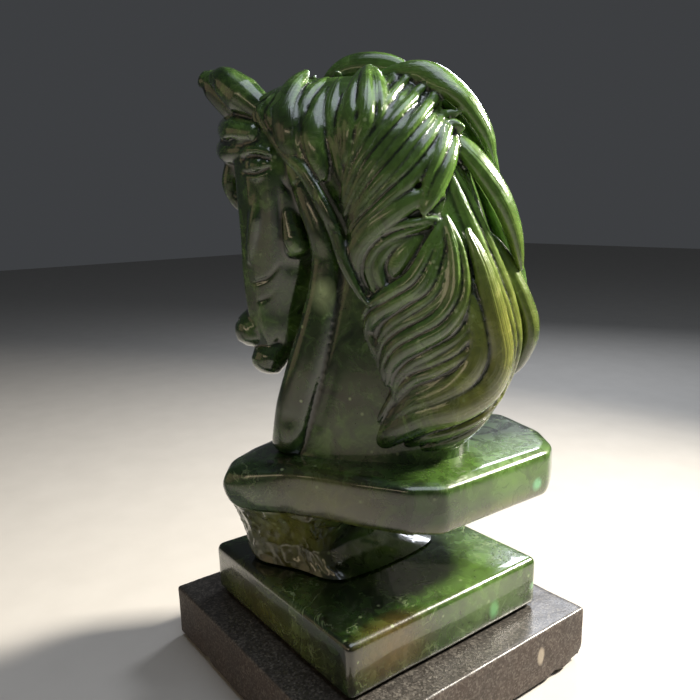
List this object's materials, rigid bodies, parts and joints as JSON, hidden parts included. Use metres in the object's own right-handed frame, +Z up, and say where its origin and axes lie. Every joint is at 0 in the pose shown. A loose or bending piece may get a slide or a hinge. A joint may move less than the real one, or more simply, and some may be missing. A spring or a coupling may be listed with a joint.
{
  "type": "jade horse-head figurine",
  "caption": "Polished green nephrite horse-head bust with a flowing mane, on a carved stem, a square jade base and a dark stone plinth.",
  "frame": {"origin": "centre of the underside of the felt sheet, under the middle of the plinth, where the figurine stands on a surface", "axes": "+Z up; the sides of the plinth and of the jade base are square to X and Y; the horse looks along -X and -Y, 50 degrees round from -Y towards -X"},
  "size_m": [0.154, 0.164, 0.3044],
  "materials": {
    "bust_nephrite": null,
    "stem_nephrite": null,
    "base_nephrite": null,
    "plinth_stone": null,
    "felt": "pressed wool felt, dark green",
    "stainless_steel": "plain stainless steel",
    "brass_insert": "turned brass",
    "epoxy_bedding": "dark filled epoxy"
  },
  "bodies": {
    "root": {"horse_bust": "bust_nephrite", "carved_stem": "stem_nephrite", "jade_base": "base_nephrite", "stone_plinth": "plinth_stone", "felt_sheet": "felt", "tie_rod": "stainless_steel", "rod_insert": "brass_insert", "rod_washer": "stainless_steel", "rod_nut": "stainless_steel", "bust_locating_pin": "stainless_steel", "stem_locating_pin": "stainless_steel", "base_locating_pin_1": "stainless_steel", "base_locating_pin_2": "stainless_steel", "base_bedding": "epoxy_bedding", "stem_bedding": "epoxy_bedding", "bust_bedding": "epoxy_bedding"}
  },
  "joints": []
}
